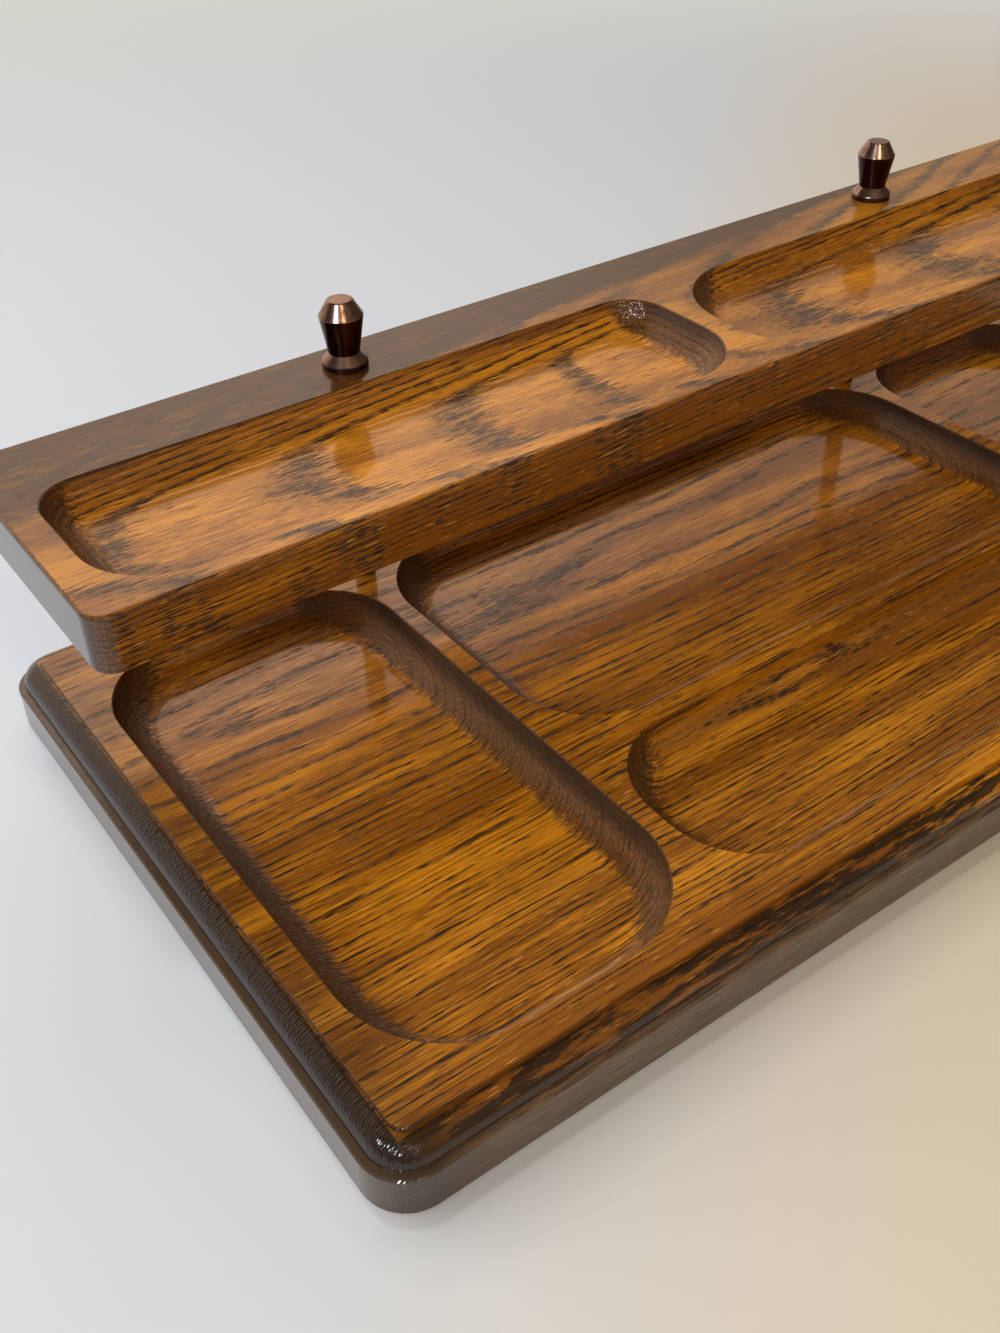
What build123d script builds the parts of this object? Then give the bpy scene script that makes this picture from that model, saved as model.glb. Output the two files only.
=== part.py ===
from build123d import *
import math
import os

# Two-tier valet tray of solid oak: a wide base board and a narrow shelf board, both with routed
# recesses, held apart by two slim metal posts. All sizes are in millimetres.
# The frame's origin is under the middle of the base: +X to the right, +Y to the back, +Z up.

# Both boards are cut to one length
board_length = 520.0

# Base board
base_depth = 253.0
base_thickness = 23.0
base_plan_corner = 14.0
base_bottom_arris = 0.8

# Edge moulding of the base, from the outside in: a flat ledge, a quarter round and a low step
ledge_width = 2.2
ovolo_radius = 6.9
step_height = 1.6
moulding_arris = 0.5
top_arris = 0.4

# Shelf board
shelf_depth = 105.0
shelf_thickness = 19.0
shelf_plan_corner = 7.0
shelf_arris = 1.2
shelf_inset_back = 16.0
tier_gap = 65.0

# Routed recesses. One round-nosed cutter makes every wall, at two depths.
cove_radius = 12.7
base_recess_depth = 12.0
shelf_recess_depth = 9.5
rim_arris = 0.4
cutter_overrun = 1.0

# Lands between the recesses of the base and its edges
end_land = 18.4
end_tray_width = 105.6
divider_width = 7.4
end_tray_front_land = 17.3
end_tray_back_land = 29.5
pen_tray_front_land = 19.1
pen_tray_depth = 68.7
cross_divider_width = 8.0
middle_tray_back_land = 28.3

# Rim corners of the base recesses, as what the template adds to the cutter's own radius
end_tray_front_corner = cove_radius + 24.3
end_tray_back_corner = cove_radius + 18.3
middle_tray_corner = cove_radius + 21.3
pen_tray_corner = cove_radius + 17.3

# Recesses of the shelf
shelf_end_land = 10.6
shelf_front_land = 7.8
shelf_recess_width = 66.1
shelf_divider_width = 9.3
shelf_divider_offset = -9.5
shelf_outer_front_corner = cove_radius + 12.3
shelf_outer_back_corner = cove_radius + 2.3
shelf_left_inner_front_corner = cove_radius + 15.3
shelf_left_inner_back_corner = cove_radius + 2.3
shelf_right_inner_front_corner = cove_radius + 3.3
shelf_right_inner_back_corner = cove_radius + 23.3

# Posts and the threaded studs inside them
post_from_end = 130.0
post_from_shelf_back = 16.0
post_diameter = 7.9
stud_diameter = 4.8
stud_clearance = 0.25
thread_clearance = 0.05

# Finials, turned from bar
finial_diameter = 15.9
finial_height = 23.5
finial_rim_height = 2.3
finial_bevel_height = 2.8
finial_waist_diameter = 10.8
finial_belt_diameter = 15.3
finial_cone_height = 5.4
finial_top_diameter = 8.8
finial_turned_arris = 0.3
finial_belt_arris = 0.6
finial_thread_depth = 18.0
finial_thread_engaged = 16.0

# Nut and washer in a counterbore under the base
nut_across_flats = 9.5
nut_height = 3.9
nut_sides = 6
nut_corner_chamfer_angle = 30.0
washer_diameter = 12.0
washer_thickness = 1.2
counterbore_clearance = 1.0
stud_past_nut = 1.0
stud_end_recess = 0.9

# Heights and places that follow from the sizes above
shelf_bottom = base_thickness + tier_gap
shelf_top = shelf_bottom + shelf_thickness
shelf_back = base_depth / 2 - shelf_inset_back
shelf_front = shelf_back - shelf_depth
post_x = board_length / 2 - post_from_end
post_y = shelf_back - post_from_shelf_back
stud_hole_radius = stud_diameter / 2 + stud_clearance
thread_radius = stud_diameter / 2 + thread_clearance
counterbore_depth = stud_end_recess + stud_past_nut + nut_height + washer_thickness
counterbore_radius = washer_diameter / 2 + counterbore_clearance
post_places = {"left": -post_x, "right": post_x}
standing = (Align.CENTER, Align.CENTER, Align.MIN)


def board(length, depth, thickness, plan_corner, bottom=0.0):
    """A flat board with rounded plan corners, standing on the given height."""
    return Pos(0, 0, bottom) * extrude(RectangleRounded(length, depth, plan_corner), thickness)


def edges_at(solid, height):
    """The edges of a solid that lie in the level plane at the given height."""
    return solid.edges().filter_by_position(Axis.Z, height, height)


def corner_at(section, point):
    """The corner of a flat section that lies nearest to the given point."""
    return section.vertices().sort_by_distance(point)[0]


def recess_cutter(left, right, front, back, corners, depth, board_top):
    """The shape that a round-nosed cutter removes: a flat floor with a coved wall up to the rim.

    The corners are the rim's radii: front left, front right, back right, back left."""
    rise = min(depth, cove_radius)
    reach = math.sqrt(cove_radius**2 - (cove_radius - rise) ** 2)
    overhang = cove_radius - reach
    points = [
        (left - overhang, front - overhang),
        (right + overhang, front - overhang),
        (right + overhang, back + overhang),
        (left - overhang, back + overhang),
    ]
    radii = [corner + overhang for corner in corners]
    outline = make_face(FilletPolyline(*points, radius=radii, close=True))
    height = max(depth, cove_radius) + cutter_overrun
    floor = board_top - depth
    block = Pos(0, 0, floor) * extrude(outline, height)
    return fillet(edges_at(block, floor), cove_radius)


def ease_rims(solid):
    """Breaks the sharp rim of each recess, which is an inner outline of the board's top face."""
    top_face = solid.faces().sort_by(Axis.Z)[-1]
    rims = [edge for outline in top_face.inner_wires() for edge in outline.edges()]
    return chamfer(rims, rim_arris)


def stud_holes(bottom, height):
    """Clearance holes for the two studs through one board."""
    hole = Cylinder(stud_hole_radius, height, align=standing)
    return [Pos(x, post_y, bottom) * hole for x in post_places.values()]


def base_recesses():
    """The four recess cutters of the base board."""
    half_length = board_length / 2
    half_depth = base_depth / 2
    end_outer = half_length - end_land
    end_inner = end_outer - end_tray_width
    middle_end = end_inner - divider_width
    end_front = -half_depth + end_tray_front_land
    end_back = half_depth - end_tray_back_land
    pen_front = -half_depth + pen_tray_front_land
    pen_back = pen_front + pen_tray_depth
    middle_front = pen_back + cross_divider_width
    middle_back = half_depth - middle_tray_back_land
    end_corners = [end_tray_front_corner] * 2 + [end_tray_back_corner] * 2
    pen_corners = [pen_tray_corner] * 4
    middle_corners = [middle_tray_corner] * 4
    trays = [
        (-end_outer, -end_inner, end_front, end_back, end_corners),
        (end_inner, end_outer, end_front, end_back, end_corners),
        (-middle_end, middle_end, pen_front, pen_back, pen_corners),
        (-middle_end, middle_end, middle_front, middle_back, middle_corners),
    ]
    return [recess_cutter(*tray, base_recess_depth, base_thickness) for tray in trays]


def moulding_tier(inset, height):
    """One tier of the base board's stepped edge: the base's outline drawn in all round."""
    return board(board_length - 2 * inset, base_depth - 2 * inset, height, base_plan_corner - inset)


def make_base_board():
    """Base board with its stepped quarter-round edge, four recesses and two counterbores."""
    ovolo_height = base_thickness - step_height
    ledge_height = ovolo_height - ovolo_radius
    ledge = moulding_tier(0, ledge_height)
    ledge = chamfer(edges_at(ledge, ledge_height), moulding_arris)
    ledge = chamfer(edges_at(ledge, 0), base_bottom_arris)
    ovolo = moulding_tier(ledge_width, ovolo_height)
    ovolo = fillet(edges_at(ovolo, ovolo_height), ovolo_radius)
    flat = moulding_tier(ledge_width + ovolo_radius, base_thickness)
    flat = chamfer(edges_at(flat, base_thickness), top_arris)
    solid = ledge + ovolo + flat
    for cutter in base_recesses():
        solid -= cutter
    solid = ease_rims(solid)
    counterbore = Cylinder(counterbore_radius, counterbore_depth, align=standing)
    for x in post_places.values():
        solid -= Pos(x, post_y, 0) * counterbore
    for hole in stud_holes(0, base_thickness):
        solid -= hole
    return solid


def shelf_recesses():
    """The two recess cutters of the shelf board, on either side of its divider."""
    outer = board_length / 2 - shelf_end_land
    divider_left = shelf_divider_offset - shelf_divider_width / 2
    divider_right = shelf_divider_offset + shelf_divider_width / 2
    front = shelf_front + shelf_front_land
    back = front + shelf_recess_width
    left_corners = [
        shelf_outer_front_corner,
        shelf_left_inner_front_corner,
        shelf_left_inner_back_corner,
        shelf_outer_back_corner,
    ]
    right_corners = [
        shelf_right_inner_front_corner,
        shelf_outer_front_corner,
        shelf_outer_back_corner,
        shelf_right_inner_back_corner,
    ]
    trays = [
        (-outer, divider_left, front, back, left_corners),
        (divider_right, outer, front, back, right_corners),
    ]
    return [recess_cutter(*tray, shelf_recess_depth, shelf_top) for tray in trays]


def make_shelf_board():
    """Shelf board with eased edges, two recesses and the studs' holes in its back land."""
    middle_y = (shelf_front + shelf_back) / 2
    blank = board(board_length, shelf_depth, shelf_thickness, shelf_plan_corner, shelf_bottom)
    solid = Pos(0, middle_y, 0) * blank
    solid = fillet(edges_at(solid, shelf_top), shelf_arris)
    solid = fillet(edges_at(solid, shelf_bottom), shelf_arris)
    for cutter in shelf_recesses():
        solid -= cutter
    solid = ease_rims(solid)
    for hole in stud_holes(shelf_bottom, shelf_thickness):
        solid -= hole
    return solid


def make_post(x):
    """Tube that keeps the boards apart, slipped over its stud."""
    tube = Cylinder(post_diameter / 2, tier_gap, align=standing)
    tube -= Cylinder(stud_hole_radius, tier_gap, align=standing)
    return Pos(x, post_y, base_thickness) * tube


def make_stud(x):
    """Threaded rod, drawn at its major diameter, from under the nut up into the finial."""
    top = shelf_top + finial_thread_engaged
    rod = Cylinder(stud_diameter / 2, top - stud_end_recess, align=standing)
    return Pos(x, post_y, stud_end_recess) * rod


def make_finial(x):
    """Turned finial: rim, bevelled foot, tapered body up to a belt, and a short cone."""
    foot = (finial_diameter / 2, 0)
    rim_top = (finial_diameter / 2, finial_rim_height)
    waist = (finial_waist_diameter / 2, finial_rim_height + finial_bevel_height)
    belt = (finial_belt_diameter / 2, finial_height - finial_cone_height)
    crown = (finial_top_diameter / 2, finial_height)
    profile = Polyline((0, 0), foot, rim_top, waist, belt, crown, (0, finial_height), close=True)
    section = make_face(profile)
    for corner in (foot, rim_top, crown):
        section = chamfer(corner_at(section, corner), finial_turned_arris)
    section = fillet(corner_at(section, belt), finial_belt_arris)
    solid = revolve(Plane.XZ * section, Axis.Z)
    solid -= Cylinder(thread_radius, finial_thread_depth, align=standing)
    return Pos(x, post_y, shelf_top) * solid


def make_washer(x):
    """Flat washer against the top of the counterbore."""
    ring = Cylinder(washer_diameter / 2, washer_thickness, align=standing)
    ring -= Cylinder(stud_hole_radius, washer_thickness, align=standing)
    return Pos(x, post_y, counterbore_depth - washer_thickness) * ring


def make_nut(x):
    """Hexagon nut below the washer, with its corners turned off at both ends."""
    flat_radius = nut_across_flats / 2
    corner_radius = flat_radius / math.cos(math.pi / nut_sides)
    corner_width = corner_radius - flat_radius
    corner_drop = corner_width * math.tan(math.radians(nut_corner_chamfer_angle))
    hexagon = extrude(RegularPolygon(corner_radius, nut_sides), nut_height)
    turned_blank = Cylinder(corner_radius, nut_height, align=standing)
    rims = turned_blank.edges().filter_by(GeomType.CIRCLE)
    turned_blank = chamfer(rims, corner_drop, corner_width)
    nut = hexagon & turned_blank
    nut -= Cylinder(thread_radius, nut_height, align=standing)
    return Pos(x, post_y, counterbore_depth - washer_thickness - nut_height) * nut


os.makedirs("parts", exist_ok=True)
export_step(make_base_board(), "parts/base_board.step")
export_step(make_shelf_board(), "parts/shelf_board.step")
for side, place in post_places.items():
    export_step(make_post(place), f"parts/post_{side}.step")
    export_step(make_stud(place), f"parts/stud_{side}.step")
    export_step(make_finial(place), f"parts/finial_{side}.step")
    export_step(make_washer(place), f"parts/washer_{side}.step")
    export_step(make_nut(place), f"parts/nut_{side}.step")
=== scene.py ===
import math

import bmesh
import bpy
from bpy.props import FloatProperty, FloatVectorProperty, PointerProperty
from bpy.types import Operator, Panel, PropertyGroup
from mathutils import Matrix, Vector


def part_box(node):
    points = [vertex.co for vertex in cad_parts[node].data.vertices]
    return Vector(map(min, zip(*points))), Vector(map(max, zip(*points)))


bl_info = {
    "name": "Two-tier valet tray",
    "version": (1, 0, 0),
    "blender": (4, 5, 0),
    "location": "3D View > Sidebar > Valet tray",
    "description": "Finishes the valet tray's boards, finials and hardware, and sets its stage",
    "category": "Object",
}

MM = 0.001
SIDES = ("left", "right")

# Sizes of the grain's patterns in millimetres: along the board, across it and in depth
TRUNK_BENDS = (150, 50, 50)
BAND_SWELLS = (24, 4, 4)
PORE_CLUSTERS = (14, 60, 60)
RUBBED_PATCHES = (18, 2.4, 2.4)
FIGURE = (120, 14, 14)
RIPPLES = (30, 3, 3)

# Other sizes in millimetres: a spell of fat or lean years, how far the dark wood's edge strays,
# a patch of brown on the bronze, the drawing streaks of the tubes, and a crystal of the zinc
GROWTH_SPELL = 5
DARK_RAGGED = 18.0
PATINA_PATCH = 3
DRAWING_STREAKS = (0.4, 0.4, 25)
ZINC_CRYSTAL = 1.5

# Parts of a year at which its porous band is full, starts to fade and is gone
BAND_FULL, BAND_FADES, BAND_GONE = 0.04, 0.2, 0.42

# Share of the pores that stand outside bands and clusters, and how much browner the front edge is
# painted, as painted shade on a face turned from the lamps
LONE_PORES = 0.05
FRONT_PAINTED_SHADE = 0.24

# Depth of one unit of relief, in metres
PORE_DEPTH = 0.05 * MM
TOOL_MARK_DEPTH = 0.01 * MM

# How the base board differs from the shelf board: no fat year, and no dark wood this side of 9 m
BASE_BOARD = {
    "ring_start": 0,
    "fat_year": 0.01 * MM,
    "uneven": 1.6,
    "heart_across": 57 * MM,
    "heart_height": -80 * MM,
    "run_out": math.radians(0.4),
    "waviness": 1.7 * MM,
    "pore_width": 0.55 * MM,
    "contrast": 0.78,
    "steadiness": 0.2,
    "raggedness": 0.5,
    "tone": 0.66,
    "dark_from": 9,
    "moulding_width": 9.1 * MM,
    "moulding_height": 15.2 * MM,
}

# Colour, power in watts, size and place in metres, and whether the lacquer mirrors the lamp
LAMPS = {
    "pane": ("window", 17, (0.35, 0.35), (-1.5, -0.7, 1.3), True),
    "lamp": ("lamp", 4, (0.3, 0.3), (-0.45, -1.1, 1.3), True),
    "window": ("window", 36, (2.2, 1.2), (-1.6, 1.0, 0.85), False),
    "ceiling": ("ceiling", 28, (2.6, 2.2), (0.5, 1.9, 2.1), False),
    "spot": ("ceiling", 4, (0.14, 0.14), (-0.2, 0.35, 1.5), False),
}

# Slopes, as height over distance, at which the bright wall is gone and whole: its level top
# stands at about 41 degrees straight ahead and lower to the sides
WALL_GONE, WALL_WHOLE = 0.94, 0.82
WALL_STRENGTH = 1.9
HIGH_IN_FRONT = (0, -0.8, 0.6)

# Where the painted warm light on the floor lies, the floor's gap to the tray, and the distances
# between which it fades, in metres
WARM_LIGHT_SIDE = (0.66, -0.75, 0)
FLOOR_GAP = 0.1 * MM
FADE_START, FADE_END = 0.5, 1.3

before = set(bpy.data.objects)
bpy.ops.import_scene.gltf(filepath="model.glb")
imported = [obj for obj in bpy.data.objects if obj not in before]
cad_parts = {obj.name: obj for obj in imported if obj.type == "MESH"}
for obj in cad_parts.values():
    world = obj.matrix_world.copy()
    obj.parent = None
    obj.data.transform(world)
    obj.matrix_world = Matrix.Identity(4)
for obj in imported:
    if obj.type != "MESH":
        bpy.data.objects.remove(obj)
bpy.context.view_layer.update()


def linear(hex_colour):
    """Linear red, green and blue of a colour written as sRGB hex."""
    channels = [int(hex_colour[i : i + 2], 16) / 255 for i in (1, 3, 5)]
    return tuple(c / 12.92 if c <= 0.04045 else ((c + 0.055) / 1.055) ** 2.4 for c in channels)


def colour(name, description, hex_colour):
    """A colour property whose default is written as sRGB hex."""
    return FloatVectorProperty(
        name=name,
        description=description,
        subtype="COLOR",
        size=3,
        min=0,
        max=1,
        default=linear(hex_colour),
    )


def length(name, description, millimetres):
    """A length property whose default is given in millimetres."""
    default = millimetres * MM
    return FloatProperty(name=name, description=description, unit="LENGTH", default=default)


class OakSettings(PropertyGroup):
    """Colours and grain sizes that both oak boards share."""

    golden: colour("Golden", "Stained latewood where it is lightest", "#CC8210")
    brown: colour("Brown", "Stained latewood where it is darkest", "#824A05")
    # Fleck paints the pale rays of the wood and painted glints of the lacquer
    fleck_and_glint: colour("Fleck", "Pale rays, cut lengthways", "#D59440")
    earlywood: colour("Earlywood", "Porous band at the start of each ring", "#3F230B")
    dark_wood: colour("Dark wood", "Wood that took the stain darkest", "#3A2008")
    pore: colour("Pore", "Stain held in the open pores", "#33200E")
    end_pore: colour("End pore", "Pores of the faces cut across the grain", "#221205")
    end_fibre: colour("End fibre", "Hard fibres between those pores, in the coves", "#6A3F12")
    end_face: colour("End face", "Faces cut square across the grain, darkest of all", "#3A2A1E")
    moulding: colour("Moulding", "Stain that collected on the moulded edge", "#190E06")
    side: colour("Side", "Upright faces below the moulding, less stained", "#7A6248")
    pore_length: length("Pore length", "Spacing of the pores along the grain", 5.5)
    end_pore_width: length("End pore width", "Spacing of the pores seen end on", 0.8)
    fibre_width: length("Fibre width", "Width of the fine streaks between the pores", 0.5)
    fibre_length: length("Fibre length", "Length of the fine streaks between the pores", 15)
    lacquer_roughness: FloatProperty(
        name="Lacquer roughness",
        description="How far the lacquer spreads a reflection",
        subtype="FACTOR",
        min=0,
        max=1,
        default=0.09,
    )


class BoardSettings(PropertyGroup):
    """How one board was sawn: where the heart of the tree lies and how its rings run."""

    ring_width: length("Ring width", "Growth in one year", 2.0)
    ring_start: length("Ring start", "Distance from the heart at which one year starts", 397.33)
    inner_growth: FloatProperty(
        name="Inner growth",
        description="How much more the tree grew in each year before that one",
        subtype="FACTOR",
        min=0,
        max=1,
        default=0.39,
    )
    fat_year: length("Fat year", "Extra growth in the year that starts there", 2.17)
    uneven: FloatProperty(
        name="Uneven", description="How far fat and lean years differ, in years", default=0.3
    )
    raggedness: FloatProperty(
        name="Raggedness",
        description="How far a ring's edge strays from one fibre to the next, in years",
        default=0.85,
    )
    heart_across: length("Heart across", "Place of the heart of the tree along Y", 50)
    heart_height: length("Heart height", "Height of the heart of the tree", -300)
    run_out: FloatProperty(
        name="Run-out",
        description="Slope of the rings against the board's length",
        subtype="ANGLE",
        unit="ROTATION",
        default=math.radians(2.4),
    )
    waviness: length("Waviness", "How far the rings stray from a straight cylinder", 0.9)
    pore_width: length("Pore width", "Spacing of the pores across the grain", 0.6)
    clusters: FloatProperty(
        name="Clusters",
        description="How thickly pores gather in upright clusters on the board's front edge",
        subtype="FACTOR",
        min=0,
        max=1,
        default=0.62,
    )
    contrast: FloatProperty(
        name="Contrast",
        description="How dark the porous bands are against the golden wood",
        subtype="FACTOR",
        min=0,
        max=1,
        default=0.88,
    )
    steadiness: FloatProperty(
        name="Steadiness",
        description="How little a porous band fades along its length",
        subtype="FACTOR",
        min=0,
        max=1,
        default=0.45,
    )
    tone: FloatProperty(
        name="Tone",
        description="Share of brown in the golden wood, with a half as the middle",
        subtype="FACTOR",
        min=0,
        max=1,
        default=0.54,
    )
    dark_side: FloatVectorProperty(
        name="Dark side",
        description="Where the dark wood lies, as seen from the rest of the board",
        size=3,
        default=(-0.1, 1.0, 14.0),
    )
    dark_from: length("Dark from", "How far that way the dark wood begins", 1586.1)
    moulding_width: length("Moulding width", "How far in from its outline the edge is moulded", 0)
    moulding_height: length("Moulding height", "Height of the moulding's lower edge", 0)


class MetalSettings(PropertyGroup):
    """Colours and sizes of the turned and plated metal."""

    bronze: colour("Bronze", "Browned bronze of the finials", "#A5877A")
    # Dark bronze: brown patina in patches, and painted shade on faces that look down
    patina_and_shade_bronze: colour("Dark bronze", "Bronze that the polish did not reach", "#38201A")
    post_bronze: colour("Post bronze", "Blackened tubes between the boards", "#2E2320")
    post_worn: colour("Worn post bronze", "Streaks where the black is thin", "#4A3832")
    zinc: colour("Zinc", "Bright zinc plating", "#B9BABA")
    zinc_dark: colour("Dull zinc", "Dulled spangle of the plating", "#8C8E90")
    turning_pitch: length("Turning pitch", "Spacing of the lathe's tool marks", 0.35)


class StageSettings(PropertyGroup):
    """Camera, floor and lights."""

    camera_place: FloatVectorProperty(
        name="Camera place",
        description="Where the camera stands",
        subtype="TRANSLATION",
        unit="LENGTH",
        size=3,
        default=(-337.89 * MM, -288.89 * MM, 313.72 * MM),
    )
    camera_turn: FloatVectorProperty(
        name="Camera turn",
        description="How the camera is turned",
        subtype="EULER",
        unit="ROTATION",
        size=3,
        default=tuple(math.radians(angle) for angle in (51.949, 1.100, -35.928)),
    )
    lens: FloatProperty(
        name="Lens", description="Focal length in millimetres on a 36 mm sensor", default=37.135
    )
    # The two floor colours paint the cool light on the left and the warm light in front
    floor: colour("Floor", "Pale matt paper, left", "#C8CBCC")
    floor_warm_light: colour("Floor right", "Pale matt paper, front and right", "#CFC1A5")
    backdrop: colour("Backdrop", "Bright wall that the lacquer mirrors", "#FFE6D4")
    room: colour("Room", "Dim room on the other sides", "#D9C4AC")
    far: colour("Far", "Plain pale backdrop beyond the floor", "#D5D3CC")
    bright_side: FloatVectorProperty(
        name="Bright side",
        description="Where the bright wall stands",
        subtype="DIRECTION",
        size=3,
        default=(0.087, 0.996, 0.0),
    )
    window: colour("Window", "Cool daylight from the left", "#EAF2FF")
    lamp: colour("Lamp", "Warm lamp behind the camera", "#FFDDB0")
    ceiling: colour("Ceiling", "Soft overhead light, which the lacquer does not mirror", "#F8FAFF")
    floor_size: FloatProperty(
        name="Floor size", description="Side of the floor", unit="LENGTH", default=8
    )


def socket(sockets, identifier):
    """The socket with that identifier, which stays unique where names repeat."""
    return next(entry for entry in sockets if entry.identifier == identifier)


def add(tree, kind, inputs=None, **settings):
    """Adds a node with settings. Each input is linked to a socket or node, or set to a value."""
    node = tree.nodes.new(kind)
    for name, value in settings.items():
        setattr(node, name, value)
    for identifier, source in (inputs or {}).items():
        target = socket(node.inputs, identifier)
        if isinstance(source, bpy.types.Node):
            source = next(output for output in source.outputs if output.enabled)
        if isinstance(source, bpy.types.NodeSocket):
            tree.links.new(source, target)
        else:
            target.default_value = source
    return node


def opaque(colour_value):
    """A linear colour with full alpha, as colour sockets take it."""
    return (*colour_value, 1.0)


def new_material(name):
    """An empty node material and its tree."""
    material = bpy.data.materials.new(name)
    material.use_nodes = True
    material.node_tree.nodes.clear()
    return material, material.node_tree


def dress(node_name, material):
    """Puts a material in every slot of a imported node."""
    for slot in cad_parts[node_name].material_slots:
        slot.material = material


def grain_noise(tree, trunk, sizes, **inputs):
    """Noise stretched along the grain. Sizes are in millimetres: along, across and in depth."""
    scale = tuple(1 / size for size in sizes)
    place = add(tree, "ShaderNodeMapping", {"Vector": trunk, "Scale": scale})
    return add(tree, "ShaderNodeTexNoise", {"Vector": place, "Scale": 1.0, **inputs})


def oak_radius(tree, trunk, board):
    """Distance from the heart of the tree in millimetres, bent as a real trunk is."""
    section = add(
        tree,
        "ShaderNodeVectorMath",
        {"Vector": trunk, "Vector_001": (0, 1, 1)},
        operation="MULTIPLY",
    )
    heart = (0, board.heart_across / MM, board.heart_height / MM)
    radius = add(
        tree,
        "ShaderNodeVectorMath",
        {"Vector": section, "Vector_001": heart},
        operation="DISTANCE",
    )
    bends = grain_noise(tree, trunk, TRUNK_BENDS, Detail=2.0, Roughness=0.4)
    most = 2 * board.waviness / MM
    stray = add(tree, "ShaderNodeMapRange", {"Value": bends, "To Min": -most, "To Max": most})
    return add(tree, "ShaderNodeMath", {"Value": radius.outputs["Value"], "Value_001": stray})


def oak_band(tree, trunk, radius, fibre, board):
    """How porous the wood is: dark at the start of each year's ring, fading through the year."""
    grown = add(
        tree,
        "ShaderNodeMath",
        {"Value": radius, "Value_001": board.ring_start / MM},
        operation="SUBTRACT",
    )
    before = add(
        tree, "ShaderNodeMath", {"Value": grown, "Value_001": 0.0}, operation="MINIMUM"
    )
    # In the fat year that starts there the ring is wider still
    fat = board.fat_year / MM
    extra = add(tree, "ShaderNodeMapRange", {"Value": grown, "From Max": fat, "To Max": fat})
    grown = add(tree, "ShaderNodeMath", {"Value": grown, "Value_001": extra}, operation="SUBTRACT")
    grown = add(
        tree,
        "ShaderNodeMath",
        {"Value": before, "Value_001": -board.inner_growth, "Value_002": grown},
        operation="MULTIPLY_ADD",
    )
    # Fat and lean years follow one another
    years = add(
        tree,
        "ShaderNodeMath",
        {"Value": radius, "Value_001": 1 / GROWTH_SPELL},
        operation="MULTIPLY",
    )
    years = add(
        tree,
        "ShaderNodeTexNoise",
        {"W": years, "Scale": 1.0, "Detail": 1.0},
        noise_dimensions="1D",
    )
    rings = add(
        tree,
        "ShaderNodeMath",
        {"Value": grown, "Value_001": MM / board.ring_width},
        operation="MULTIPLY",
    )
    for ragged, by in ((years, board.uneven), (fibre, board.raggedness)):
        rings = add(
            tree,
            "ShaderNodeMath",
            {"Value": ragged, "Value_001": by, "Value_002": rings},
            operation="MULTIPLY_ADD",
        )
    year = add(tree, "ShaderNodeMath", {"Value": rings}, operation="FRACT")
    early = add(tree, "ShaderNodeValToRGB", {"Fac": year})
    early.color_ramp.interpolation = "EASE"
    stops = early.color_ramp.elements
    for stop, position in zip(stops, (0.0, BAND_GONE)):
        stop.position = position
        stop.color = (0, 0, 0, 1)
    for position in (BAND_FULL, BAND_FADES):
        stops.new(position).color = (1, 1, 1, 1)
    # A ring's dark band swells and fades along the grain
    swell = grain_noise(tree, trunk, BAND_SWELLS, Detail=2.0)
    swell = add(
        tree,
        "ShaderNodeMapRange",
        {
            "Value": swell,
            "From Min": 0.36,
            "From Max": 0.62,
            "To Min": board.steadiness * board.contrast,
            "To Max": board.contrast,
        },
    )
    return add(tree, "ShaderNodeMath", {"Value": early, "Value_001": swell}, operation="MULTIPLY")


def oak_pores(tree, trunk, band, edge, oak, board):
    """Dark dashes of open pores, crowded into the porous bands, and pale flecks between them,
    which are rays of the wood and painted glints of the lacquer.
    """
    # Real pores are about 0.3 mm wide, drawn coarser so that they show
    spacing = (MM / oak.pore_length, MM / board.pore_width, MM / board.pore_width)
    pores = add(tree, "ShaderNodeMapping", {"Vector": trunk, "Scale": spacing})
    pores = add(tree, "ShaderNodeTexVoronoi", {"Vector": pores, "Scale": 1.0})
    lot = add(tree, "ShaderNodeSeparateColor", {"Color": pores.outputs["Color"]})
    cluster = grain_noise(tree, trunk, PORE_CLUSTERS, Detail=1.0)
    cluster = add(
        tree,
        "ShaderNodeMapRange",
        {"Value": cluster, "From Min": 0.42, "From Max": 0.62, "To Max": board.clusters},
    )
    cluster = add(
        tree, "ShaderNodeMath", {"Value": cluster, "Value_001": edge}, operation="MULTIPLY"
    )
    crowding = add(
        tree, "ShaderNodeMapRange", {"Value": band, "To Min": LONE_PORES, "To Max": 1.0}
    )
    crowding = add(
        tree, "ShaderNodeMath", {"Value": crowding, "Value_001": cluster}, operation="MAXIMUM"
    )
    # Pores are fatter where they crowd
    reach = add(tree, "ShaderNodeMapRange", {"Value": crowding, "To Min": 0.42, "To Max": 0.8})
    crowding = add(
        tree,
        "ShaderNodeMath",
        {"Value": crowding, "Value_001": lot.outputs["Red"]},
        operation="SUBTRACT",
    )
    crowding = add(
        tree, "ShaderNodeMapRange", {"Value": crowding, "From Min": -0.05, "From Max": 0.05}
    )
    dash = add(
        tree,
        "ShaderNodeMath",
        {"Value": reach, "Value_001": pores.outputs["Distance"]},
        operation="SUBTRACT",
    )
    dash = add(tree, "ShaderNodeMapRange", {"Value": dash, "From Max": 0.2})
    # One cell in ten is a pale fleck: a ray of the wood with a painted glint of the lacquer
    ray_and_glint = add(
        tree,
        "ShaderNodeMapRange",
        {"Value": lot.outputs["Green"], "From Min": 0.88, "From Max": 0.92, "To Max": 0.6},
    )
    pore, fleck_and_glint = (
        add(tree, "ShaderNodeMath", {"Value": share, "Value_001": dash}, operation="MULTIPLY")
        for share in (crowding, ray_and_glint)
    )
    return pore, fleck_and_glint


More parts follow.
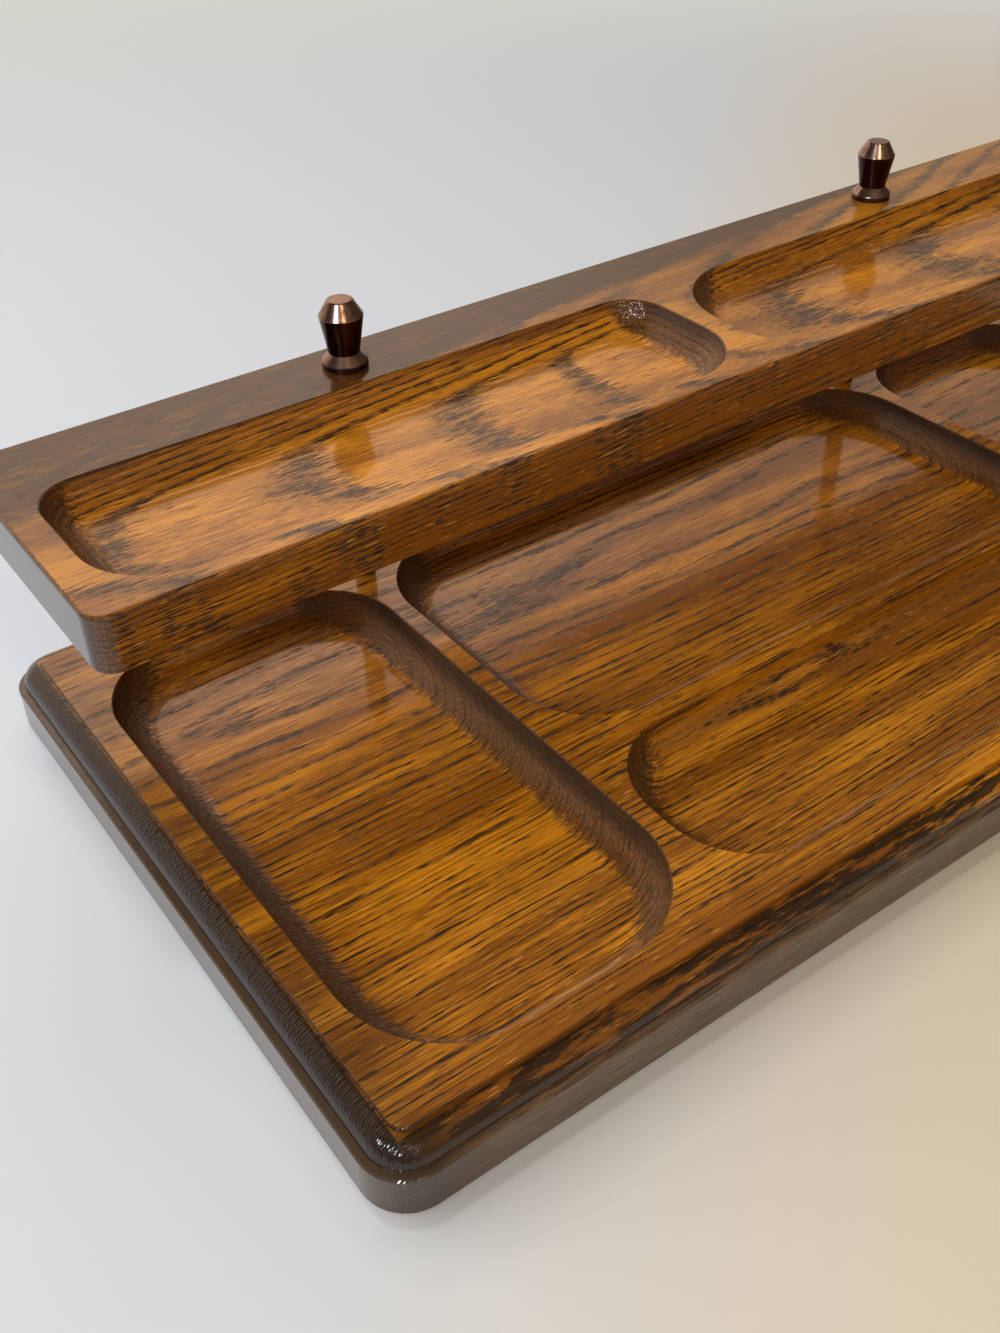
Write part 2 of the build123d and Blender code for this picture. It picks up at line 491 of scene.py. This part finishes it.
def oak_dark_wood(tree, place, fibre, board):
    """Share of dark wood, which lies beyond a ragged sloping plane."""
    beyond = add(
        tree,
        "ShaderNodeVectorMath",
        {"Vector": place, "Vector_001": [part / MM for part in board.dark_side]},
        operation="DOT_PRODUCT",
    )
    beyond = add(
        tree,
        "ShaderNodeMath",
        {"Value": fibre, "Value_001": DARK_RAGGED, "Value_002": beyond.outputs["Value"]},
        operation="MULTIPLY_ADD",
    )
    # It sets in over 8 mm, and the wood before it darkens by degrees
    plane = board.dark_from / MM
    share, before = (
        add(
            tree,
            "ShaderNodeMapRange",
            {
                "Value": beyond,
                "From Min": plane + start,
                "From Max": plane + end,
                "To Max": most,
            },
        )
        for start, end, most in ((5, 13, 1.0), (-50, 5, 0.42))
    )
    share = add(tree, "ShaderNodeMath", {"Value": share, "Value_001": before}, operation="MAXIMUM")
    # Golden hairlines run through the dark wood
    hairlines = add(
        tree,
        "ShaderNodeMapRange",
        {"Value": fibre, "From Min": 0.5, "From Max": 0.72, "To Min": 1.0, "To Max": 0.45},
    )
    return add(
        tree, "ShaderNodeMath", {"Value": share, "Value_001": hairlines}, operation="MULTIPLY"
    )


def oak_end_dots(tree, trunk, radius, band, oak):
    """Pores seen end on: rows of dots along the rings, and how hollow each of them is."""
    along_ring = add(tree, "ShaderNodeSeparateXYZ", {"Vector": trunk})
    rows = add(tree, "ShaderNodeCombineXYZ", {"X": radius, "Y": along_ring.outputs["Y"]})
    dots = add(
        tree,
        "ShaderNodeTexVoronoi",
        {"Vector": rows, "Scale": MM / oak.end_pore_width, "Randomness": 0.7},
        voronoi_dimensions="2D",
    )
    hollow = add(
        tree,
        "ShaderNodeMapRange",
        {"Value": dots.outputs["Distance"], "From Min": 0.7, "From Max": 0.1},
    )
    dots = add(
        tree,
        "ShaderNodeMapRange",
        {"Value": hollow, "From Min": 0.25, "From Max": 0.85, "To Max": 0.75},
    )
    dots = add(tree, "ShaderNodeMath", {"Value": dots, "Value_001": band}, operation="MAXIMUM")
    return dots, hollow


def oak_moulding(tree, place, trunk, fibre, outline, board):
    """Shares of the stain on the moulded edge, of the upright side below and of its streaks."""
    high = outline[1]
    inner_edge = (high[0] - board.moulding_width, high[1] - board.moulding_width, 0)
    beyond = add(tree, "ShaderNodeVectorMath", {"Vector": place}, operation="ABSOLUTE")
    beyond = add(
        tree,
        "ShaderNodeVectorMath",
        {"Vector": beyond, "Vector_001": inner_edge},
        operation="SUBTRACT",
    )
    beyond = add(tree, "ShaderNodeSeparateXYZ", {"Vector": beyond})
    ends, fronts = (
        add(
            tree,
            "ShaderNodeMapRange",
            {"Value": beyond.outputs[axis], "From Min": 0.0, "From Max": 0.5 * MM},
        )
        for axis in "XY"
    )
    edge = add(tree, "ShaderNodeMath", {"Value": ends, "Value_001": fronts}, operation="MAXIMUM")
    # On the long sides golden patches are rubbed through
    rubbed = grain_noise(tree, trunk, RUBBED_PATCHES, Detail=4.0, Roughness=0.65)
    stained = add(
        tree,
        "ShaderNodeMapRange",
        {"Value": rubbed, "From Min": 0.58, "From Max": 0.49, "To Min": 0.08, "To Max": 0.9},
    )
    # Stain also sank into the last 34 mm at each end, and deeper into the edge there
    soaked = add(
        tree,
        "ShaderNodeMapRange",
        {"Value": beyond.outputs["X"], "From Min": -25 * MM, "From Max": -5 * MM, "To Max": 0.4},
    )
    near_end = add(
        tree, "ShaderNodeMath", {"Value": soaked, "Value_001": 2.2}, operation="MULTIPLY"
    )
    ends = add(
        tree,
        "ShaderNodeMath",
        {"Value": ends, "Value_001": 0.55, "Value_002": soaked},
        operation="MULTIPLY_ADD",
    )
    for operation, other in (("MAXIMUM", near_end), ("MULTIPLY", fronts), ("MAXIMUM", ends)):
        stained = add(
            tree, "ShaderNodeMath", {"Value": stained, "Value_001": other}, operation=operation
        )
    height = add(tree, "ShaderNodeSeparateXYZ", {"Vector": place})
    below = add(
        tree,
        "ShaderNodeMapRange",
        {
            "Value": height.outputs["Z"],
            "From Min": board.moulding_height + 0.3 * MM,
            "From Max": board.moulding_height - 0.3 * MM,
            "To Max": 0.75,
        },
    )
    below = add(tree, "ShaderNodeMath", {"Value": below, "Value_001": edge}, operation="MULTIPLY")
    # Dark streaks run along the side, which is darkest near the ends
    streaks = add(
        tree,
        "ShaderNodeMapRange",
        {"Value": fibre, "From Min": 0.47, "From Max": 0.58, "To Max": 0.8},
    )
    for operation, other in (("MAXIMUM", near_end), ("MULTIPLY", below)):
        streaks = add(
            tree, "ShaderNodeMath", {"Value": streaks, "Value_001": other}, operation=operation
        )
    return stained, below, streaks


def oak_material(name, oak, board, outline):
    """Oak, sawn, routed, stained and gloss lacquered.

    Gives the eye rows of dark dashes along every ring, gathered into ragged patches where the
    board cuts a ring at a shallow angle, golden streaky wood between them, dotted brown faces
    across the grain, a dark rubbed moulding, and a clear coat that mirrors the room."""
    material, tree = new_material(name)
    place = add(tree, "ShaderNodeTexCoord").outputs["Object"]
    trunk = add(
        tree,
        "ShaderNodeMapping",
        {"Vector": place, "Scale": (1 / MM, 1 / MM, 1 / MM), "Rotation": (0, board.run_out, 0)},
    )
    radius = oak_radius(tree, trunk, board)
    # Real fibres are finer than 0.1 mm, drawn coarser so that they show
    fibre_sizes = (oak.fibre_length / MM, oak.fibre_width / MM, oak.fibre_width / MM)
    fibre = grain_noise(tree, trunk, fibre_sizes, Detail=3.0, Roughness=0.6)
    band = oak_band(tree, trunk, radius, fibre, board)
    # The front edge is painted browner, as painted shade on a face turned from the lamps, and its
    # pores gather in clusters
    front = outline[0][1]
    from_front = add(tree, "ShaderNodeSeparateXYZ", {"Vector": place})
    edge = add(
        tree,
        "ShaderNodeMapRange",
        {"Value": from_front.outputs["Y"], "From Min": front + 3 * MM, "From Max": front + MM},
    )
    pore, fleck_and_glint = oak_pores(tree, trunk, band, edge, oak, board)
    dots, hollow = oak_end_dots(tree, trunk, radius, band, oak)
    # Broad light and dark figure
    figure = grain_noise(tree, trunk, FIGURE, Detail=2.0)
    shade = add(tree, "ShaderNodeMath", {"Value": figure, "Value_001": fibre})
    # Painted shade: the front face is browned
    shade = add(
        tree,
        "ShaderNodeMath",
        {"Value": edge, "Value_001": FRONT_PAINTED_SHADE, "Value_002": shade},
        operation="MULTIPLY_ADD",
    )
    lighter = (0.5 - board.tone) * 0.44
    shade = add(
        tree,
        "ShaderNodeMapRange",
        {"Value": shade, "From Min": 0.84 + lighter, "From Max": 1.16 + lighter},
    )
    normal = add(tree, "ShaderNodeNewGeometry").outputs["Normal"]
    normal = add(tree, "ShaderNodeSeparateXYZ", {"Vector": normal})
    tilt = add(tree, "ShaderNodeMath", {"Value": normal.outputs["X"]}, operation="ABSOLUTE")
    ragged_tilt = add(
        tree,
        "ShaderNodeMath",
        {"Value": fibre, "Value_001": 0.7, "Value_002": tilt},
        operation="MULTIPLY_ADD",
    )
    across = add(
        tree,
        "ShaderNodeMapRange",
        {"Value": ragged_tilt, "From Min": 0.4, "From Max": 0.68},
        interpolation_type="SMOOTHSTEP",
    )
    square = add(tree, "ShaderNodeMapRange", {"Value": tilt, "From Min": 0.7, "From Max": 0.95})
    end_wood = opaque(oak.end_fibre)
    for share, hue in ((square, oak.end_face), (dots, oak.end_pore)):
        end_wood = add(
            tree,
            "ShaderNodeMix",
            {"Factor_Float": share, "A_Color": end_wood, "B_Color": opaque(hue)},
            data_type="RGBA",
        )
        end_wood = socket(end_wood.outputs, "Result_Color")
    layers = [
        (shade, opaque(oak.brown)),
        # Pale flecks: rays of the wood, and painted glints
        (fleck_and_glint, opaque(oak.fleck_and_glint)),
        (oak_dark_wood(tree, place, fibre, board), opaque(oak.dark_wood)),
        (band, opaque(oak.earlywood)),
        (pore, opaque(oak.pore)),
        (across, end_wood),
    ]
    if board.moulding_width:
        stained, below, streaks = oak_moulding(tree, place, trunk, fibre, outline, board)
        layers += [
            (stained, opaque(oak.moulding)),
            (below, opaque(oak.side)),
            (streaks, opaque(oak.moulding)),
        ]
    wood = opaque(oak.golden)
    for share, hue in layers:
        wood = add(
            tree,
            "ShaderNodeMix",
            {"Factor_Float": share, "A_Color": wood, "B_Color": hue},
            data_type="RGBA",
        )
        wood = socket(wood.outputs, "Result_Color")
    # The lacquer dips into the pores, most in the coves, and ripples over the fibres
    ripple = grain_noise(tree, trunk, RIPPLES, Detail=2.0)
    depth = add(tree, "ShaderNodeMapRange", {"Value": square, "To Min": 4.5, "To Max": 1.0})
    end_dip = add(
        tree, "ShaderNodeMath", {"Value": hollow, "Value_001": depth}, operation="MULTIPLY"
    )
    dip = add(
        tree,
        "ShaderNodeMix",
        {"Factor_Float": across, "A_Float": pore, "B_Float": end_dip},
    )
    dip = add(
        tree,
        "ShaderNodeMath",
        {"Value": ripple, "Value_001": 0.8, "Value_002": dip},
        operation="MULTIPLY_ADD",
    )
    relief = add(
        tree,
        "ShaderNodeBump",
        {"Height": dip, "Strength": 0.5, "Distance": PORE_DEPTH},
        invert=True,
    )
    surface = add(
        tree,
        "ShaderNodeBsdfPrincipled",
        {
            "Base Color": wood,
            "Roughness": 0.5,
            "Specular IOR Level": 0.15,
            "Normal": relief,
            "Coat Weight": 1.0,
            "Coat Roughness": oak.lacquer_roughness,
            "Coat Normal": relief,
        },
    )
    add(tree, "ShaderNodeOutputMaterial", {"Surface": surface})
    return material


def finish_metal(tree, share, hues, roughness, relief=None):
    """Gives a tree the surface of bare metal, of two colours mixed by a share."""
    bright, dull = (opaque(hue) for hue in hues)
    tint = add(
        tree,
        "ShaderNodeMix",
        {"Factor_Float": share, "A_Color": bright, "B_Color": dull},
        data_type="RGBA",
    )
    inputs = {
        "Base Color": socket(tint.outputs, "Result_Color"),
        "Metallic": 1.0,
        "Roughness": roughness,
    }
    if relief:
        inputs["Normal"] = relief
    surface = add(tree, "ShaderNodeBsdfPrincipled", inputs)
    add(tree, "ShaderNodeOutputMaterial", {"Surface": surface})


def bronze_material(metal):
    """Bronze, turned on a lathe, browned and polished: dark plum metal with copper highlights,
    fine tool marks round it, a slightly uneven brown, and painted shade on the faces that look
    down."""
    material, tree = new_material("turned_browned_bronze")
    place = add(tree, "ShaderNodeTexCoord").outputs["Object"]
    # Both finials are mirrored onto one axis, and the tool marks follow height less radius
    place = add(tree, "ShaderNodeMapping", {"Vector": place, "Scale": (1 / MM, 1 / MM, 1 / MM)})
    folded = add(tree, "ShaderNodeSeparateXYZ", {"Vector": place})
    side = add(tree, "ShaderNodeMath", {"Value": folded.outputs["X"]}, operation="ABSOLUTE")
    flat = add(tree, "ShaderNodeCombineXYZ", {"X": side, "Y": folded.outputs["Y"]})
    low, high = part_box("finial_right")
    axis = [(a + b) / 2 / MM for a, b in zip(low, high)]
    radius = add(
        tree,
        "ShaderNodeVectorMath",
        {"Vector": flat, "Vector_001": (axis[0], axis[1], 0)},
        operation="DISTANCE",
    )
    along = add(
        tree,
        "ShaderNodeMath",
        {"Value": folded.outputs["Z"], "Value_001": radius.outputs["Value"]},
        operation="SUBTRACT",
    )
    # A polished part's marks are finer than 0.1 mm, drawn coarser so that they show
    marks = add(
        tree,
        "ShaderNodeTexNoise",
        {"W": along, "Scale": MM / metal.turning_pitch, "Detail": 1.0},
        noise_dimensions="1D",
    )
    patina = add(
        tree,
        "ShaderNodeTexNoise",
        {"Vector": place, "Scale": 1 / PATINA_PATCH, "Detail": 3.0, "Roughness": 0.6},
    )
    share = add(
        tree,
        "ShaderNodeMapRange",
        {"Value": patina, "From Min": 0.4, "From Max": 0.75, "To Max": 0.6},
    )
    # Painted shade: faces that look down are darkened towards the dark bronze
    normal = add(tree, "ShaderNodeNewGeometry").outputs["Normal"]
    normal = add(tree, "ShaderNodeSeparateXYZ", {"Vector": normal})
    downward_shade = add(
        tree,
        "ShaderNodeMapRange",
        {"Value": normal.outputs["Z"], "From Min": 0.2, "From Max": -0.05},
    )
    share = add(
        tree, "ShaderNodeMath", {"Value": share, "Value_001": downward_shade}, operation="MAXIMUM"
    )
    polish = add(
        tree, "ShaderNodeMapRange", {"Value": patina, "To Min": 0.14, "To Max": 0.32}
    )
    relief = add(
        tree, "ShaderNodeBump", {"Height": marks, "Strength": 0.6, "Distance": TOOL_MARK_DEPTH}
    )
    finish_metal(tree, share, (metal.bronze, metal.patina_and_shade_bronze), polish, relief)
    return material


def post_material(metal):
    """Steel tube with a blackened bronze wash: a dark satin line under the shelf, drawn
    lengthways so that it shows faint streaks from end to end."""
    material, tree = new_material("blackened_bronze_tube")
    place = add(tree, "ShaderNodeTexCoord").outputs["Object"]
    # The real drawing streaks are finer, drawn coarser so that they show
    scale = tuple(1 / (size * MM) for size in DRAWING_STREAKS)
    streaks = add(tree, "ShaderNodeMapping", {"Vector": place, "Scale": scale})
    streaks = add(tree, "ShaderNodeTexNoise", {"Vector": streaks, "Scale": 1.0, "Detail": 2.0})
    satin = add(tree, "ShaderNodeMapRange", {"Value": streaks, "To Min": 0.24, "To Max": 0.42})
    relief = add(
        tree, "ShaderNodeBump", {"Height": streaks, "Strength": 0.4, "Distance": TOOL_MARK_DEPTH}
    )
    finish_metal(tree, streaks, (metal.post_bronze, metal.post_worn), satin, relief)
    return material


def zinc_material(metal):
    """Steel hardware plated with bright zinc: pale grey crystals, some duller than others."""
    material, tree = new_material("zinc_plated_steel")
    place = add(tree, "ShaderNodeTexCoord").outputs["Object"]
    spangle = add(
        tree, "ShaderNodeTexVoronoi", {"Vector": place, "Scale": 1 / (ZINC_CRYSTAL * MM)}
    )
    lot = add(tree, "ShaderNodeSeparateColor", {"Color": spangle.outputs["Color"]})
    gloss = add(
        tree, "ShaderNodeMapRange", {"Value": lot.outputs["Green"], "To Min": 0.28, "To Max": 0.48}
    )
    finish_metal(tree, lot.outputs["Red"], (metal.zinc, metal.zinc_dark), gloss)
    return material


def floor_material(stage):
    """Smooth matt paper, which takes a soft shadow and runs out into the backdrop far from the
    tray.
    Its cool left and warm front are painted light."""
    material, tree = new_material("matt_paper")
    place = add(tree, "ShaderNodeTexCoord").outputs["Object"]
    # Painted light: the paper turns warm towards the front and right, and less so far from the
    # tray
    warm = add(
        tree,
        "ShaderNodeVectorMath",
        {"Vector": place, "Vector_001": WARM_LIGHT_SIDE},
        operation="DOT_PRODUCT",
    )
    warm = add(
        tree,
        "ShaderNodeMapRange",
        {"Value": warm.outputs["Value"], "From Min": -0.14, "From Max": 0.1},
        interpolation_type="SMOOTHSTEP",
    )
    away = add(tree, "ShaderNodeVectorMath", {"Vector": place}, operation="LENGTH")
    away = away.outputs["Value"]
    faded = add(
        tree,
        "ShaderNodeMapRange",
        {"Value": away, "From Min": FADE_START, "From Max": 1.6, "To Min": 1, "To Max": 0.1},
    )
    warm = add(tree, "ShaderNodeMath", {"Value": warm, "Value_001": faded}, operation="MULTIPLY")
    tint = add(
        tree,
        "ShaderNodeMix",
        {
            "Factor_Float": warm,
            "A_Color": opaque(stage.floor),
            "B_Color": opaque(stage.floor_warm_light),
        },
        data_type="RGBA",
    )
    paper = add(
        tree,
        "ShaderNodeBsdfPrincipled",
        {"Base Color": socket(tint.outputs, "Result_Color"), "Roughness": 0.9},
    )
    # Only the camera sees it turn into the backdrop
    gone = add(
        tree,
        "ShaderNodeMapRange",
        {"Value": away, "From Min": FADE_START, "From Max": FADE_END},
        interpolation_type="SMOOTHSTEP",
    )
    seen = add(tree, "ShaderNodeLightPath").outputs["Is Camera Ray"]
    gone = add(tree, "ShaderNodeMath", {"Value": gone, "Value_001": seen}, operation="MULTIPLY")
    pale = add(tree, "ShaderNodeEmission", {"Color": opaque(stage.far), "Strength": 1.0})
    surface = add(
        tree,
        "ShaderNodeMixShader",
        {"Fac": gone, "Shader": paper, "Shader_001": pale},
    )
    add(tree, "ShaderNodeOutputMaterial", {"Surface": surface})
    return material


class VALET_OT_boards(Operator):
    """Finish the base board and the shelf board in stained, lacquered oak"""

    bl_idname = "valet.boards"
    bl_label = "Boards"

    def execute(self, context):
        scene = context.scene
        for kind in ("base", "shelf"):
            board = getattr(scene, f"valet_{kind}")
            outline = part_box(f"{kind}_board")
            material = oak_material(f"lacquered_oak_{kind}", scene.valet_oak, board, outline)
            dress(f"{kind}_board", material)
        return {"FINISHED"}


class VALET_OT_finials(Operator):
    """Finish the two turned finials in browned bronze"""

    bl_idname = "valet.finials"
    bl_label = "Finials"

    def execute(self, context):
        material = bronze_material(context.scene.valet_metal)
        for side in SIDES:
            dress(f"finial_{side}", material)
        return {"FINISHED"}


class VALET_OT_posts(Operator):
    """Finish the two tubes between the boards"""

    bl_idname = "valet.posts"
    bl_label = "Posts"

    def execute(self, context):
        material = post_material(context.scene.valet_metal)
        for side in SIDES:
            dress(f"post_{side}", material)
        return {"FINISHED"}


class VALET_OT_hardware(Operator):
    """Finish the studs, nuts and washers in zinc plate"""

    bl_idname = "valet.hardware"
    bl_label = "Hardware"

    def execute(self, context):
        material = zinc_material(context.scene.valet_metal)
        for side in SIDES:
            for kind in ("stud", "nut", "washer"):
                dress(f"{kind}_{side}", material)
        return {"FINISHED"}


class VALET_OT_stage(Operator):
    """Set the floor, the room's light, the lamps and the camera"""

    bl_idname = "valet.stage"
    bl_label = "Stage"

    def execute(self, context):
        scene = context.scene
        stage = scene.valet_stage
        make_floor(scene, stage)
        make_world(scene, stage)
        for name, (hue, power, size, place, mirrored) in LAMPS.items():
            make_light(scene, name, getattr(stage, hue), power, size, place, mirrored)
        camera = bpy.data.cameras.new("camera")
        camera.lens = stage.lens
        viewpoint = bpy.data.objects.new("camera", camera)
        viewpoint.location = stage.camera_place
        viewpoint.rotation_euler = stage.camera_turn
        scene.collection.objects.link(viewpoint)
        scene.camera = viewpoint
        scene.view_settings.view_transform = "Standard"
        return {"FINISHED"}


def make_floor(scene, stage):
    """A wide flat floor, a hair below the tray so that the two faces do not share a plane."""
    shape = bmesh.new()
    bmesh.ops.create_grid(shape, x_segments=1, y_segments=1, size=stage.floor_size / 2)
    bmesh.ops.translate(shape, verts=shape.verts, vec=(0, 0, -FLOOR_GAP))
    mesh = bpy.data.meshes.new("floor")
    shape.to_mesh(mesh)
    shape.free()
    mesh.materials.append(floor_material(stage))
    floor = bpy.data.objects.new("floor", mesh)
    scene.collection.objects.link(floor)


def make_world(scene, stage):
    """A dim room with a bright wall behind the tray, which the lacquer mirrors as a warm haze."""
    world = bpy.data.worlds.new("room")
    world.use_nodes = True
    tree = world.node_tree
    tree.nodes.clear()
    bright_side = Vector(stage.bright_side).normalized()
    direction = add(tree, "ShaderNodeTexCoord").outputs["Generated"]
    ahead = add(
        tree,
        "ShaderNodeVectorMath",
        {"Vector": direction, "Vector_001": bright_side},
        operation="DOT_PRODUCT",
    )
    rise = add(tree, "ShaderNodeSeparateXYZ", {"Vector": direction})
    slope = add(
        tree,
        "ShaderNodeMath",
        {"Value": rise.outputs["Z"], "Value_001": ahead.outputs["Value"]},
        operation="DIVIDE",
    )
    wall = add(
        tree,
        "ShaderNodeMapRange",
        {"Value": slope, "From Min": WALL_GONE, "From Max": WALL_WHOLE},
        interpolation_type="SMOOTHSTEP",
    )
    # It glows more towards its top
    glow = add(
        tree,
        "ShaderNodeMapRange",
        {"Value": slope, "From Min": 0.5, "From Max": 0.85, "To Min": 0.6, "To Max": 1.12},
    )
    level = add(
        tree,
        "ShaderNodeVectorMath",
        {"Vector": direction, "Vector_001": (1, 1, 0)},
        operation="MULTIPLY",
    )
    level = add(tree, "ShaderNodeVectorMath", {"Vector": level}, operation="NORMALIZE")
    facing = add(
        tree,
        "ShaderNodeVectorMath",
        {"Vector": level, "Vector_001": bright_side},
        operation="DOT_PRODUCT",
    )
    # It dims in two steps to the sides, as seen in the lacquer
    near, far = (
        add(
            tree,
            "ShaderNodeMapRange",
            {
                "Value": facing.outputs["Value"],
                "From Min": start,
                "From Max": end,
                "To Max": share,
            },
        )
        for start, end, share in ((0.76, 0.9, 0.45), (0.45, 0.62, 0.42))
    )
    facing = add(tree, "ShaderNodeMath", {"Value": near, "Value_001": far})
    for share in (facing, glow):
        wall = add(
            tree, "ShaderNodeMath", {"Value": wall, "Value_001": share}, operation="MULTIPLY"
        )
    tint = add(
        tree,
        "ShaderNodeMix",
        {"Factor_Float": wall, "A_Color": opaque(stage.room), "B_Color": opaque(stage.backdrop)},
        data_type="RGBA",
    )
    # High in front the room is brighter, which the finials mirror
    front = add(
        tree,
        "ShaderNodeVectorMath",
        {"Vector": direction, "Vector_001": HIGH_IN_FRONT},
        operation="DOT_PRODUCT",
    )
    dim = add(
        tree,
        "ShaderNodeMapRange",
        {
            "Value": front.outputs["Value"],
            "From Min": 0.68,
            "From Max": 0.95,
            "To Min": 0.16,
            "To Max": 0.45,
        },
    )
    strength = add(
        tree,
        "ShaderNodeMath",
        {"Value": wall, "Value_001": WALL_STRENGTH, "Value_002": dim},
        operation="MULTIPLY_ADD",
    )
    light = add(
        tree,
        "ShaderNodeBackground",
        {"Color": socket(tint.outputs, "Result_Color"), "Strength": strength},
    )
    # The camera sees a plain pale backdrop, which lights nothing
    pale = add(tree, "ShaderNodeBackground", {"Color": opaque(stage.far), "Strength": 1.0})
    seen = add(tree, "ShaderNodeLightPath").outputs["Is Camera Ray"]
    view = add(
        tree, "ShaderNodeMixShader", {"Fac": seen, "Shader": light, "Shader_001": pale}
    )
    add(tree, "ShaderNodeOutputWorld", {"Surface": view})
    scene.world = world


def make_light(scene, name, light_colour, power, size, place, mirrored):
    """A rectangular lamp that shines on the middle of the tray."""
    light = bpy.data.lights.new(name, "AREA")
    light.shape = "RECTANGLE"
    light.size, light.size_y = size
    light.energy = power
    light.color = light_colour
    lamp = bpy.data.objects.new(name, light)
    lamp.location = place
    lamp.rotation_euler = (-Vector(place)).to_track_quat("-Z", "Y").to_euler()
    lamp.visible_glossy = mirrored
    scene.collection.objects.link(lamp)


class VALET_PT_panel(Panel):
    """Lists the tray's pieces, sizes and colours"""

    bl_idname = "VALET_PT_panel"
    bl_label = "Valet tray"
    bl_space_type = "VIEW_3D"
    bl_region_type = "UI"
    bl_category = "Valet tray"

    def draw(self, context):
        for operator in PIECES:
            self.layout.operator(operator.bl_idname)
        for name, group in SETTINGS.items():
            box = self.layout.box()
            box.label(text=name.removeprefix("valet_").capitalize())
            for field in group.__annotations__:
                box.prop(getattr(context.scene, name), field)


PIECES = (
    VALET_OT_boards,
    VALET_OT_finials,
    VALET_OT_posts,
    VALET_OT_hardware,
    VALET_OT_stage,
)
SETTINGS = {
    "valet_oak": OakSettings,
    "valet_base": BoardSettings,
    "valet_shelf": BoardSettings,
    "valet_metal": MetalSettings,
    "valet_stage": StageSettings,
}
CLASSES = (
    OakSettings,
    BoardSettings,
    MetalSettings,
    StageSettings,
    *PIECES,
    VALET_PT_panel,
)


def register():
    for entry in CLASSES:
        bpy.utils.register_class(entry)
    for name, group in SETTINGS.items():
        setattr(bpy.types.Scene, name, PointerProperty(type=group))


def unregister():
    for name in SETTINGS:
        delattr(bpy.types.Scene, name)
    for entry in reversed(CLASSES):
        bpy.utils.unregister_class(entry)


def main():
    register()
    for name, value in BASE_BOARD.items():
        setattr(bpy.context.scene.valet_base, name, value)
    for operator in PIECES:
        group, name = operator.bl_idname.split(".")
        getattr(getattr(bpy.ops, group), name)()


if __name__ == "__main__":
    main()
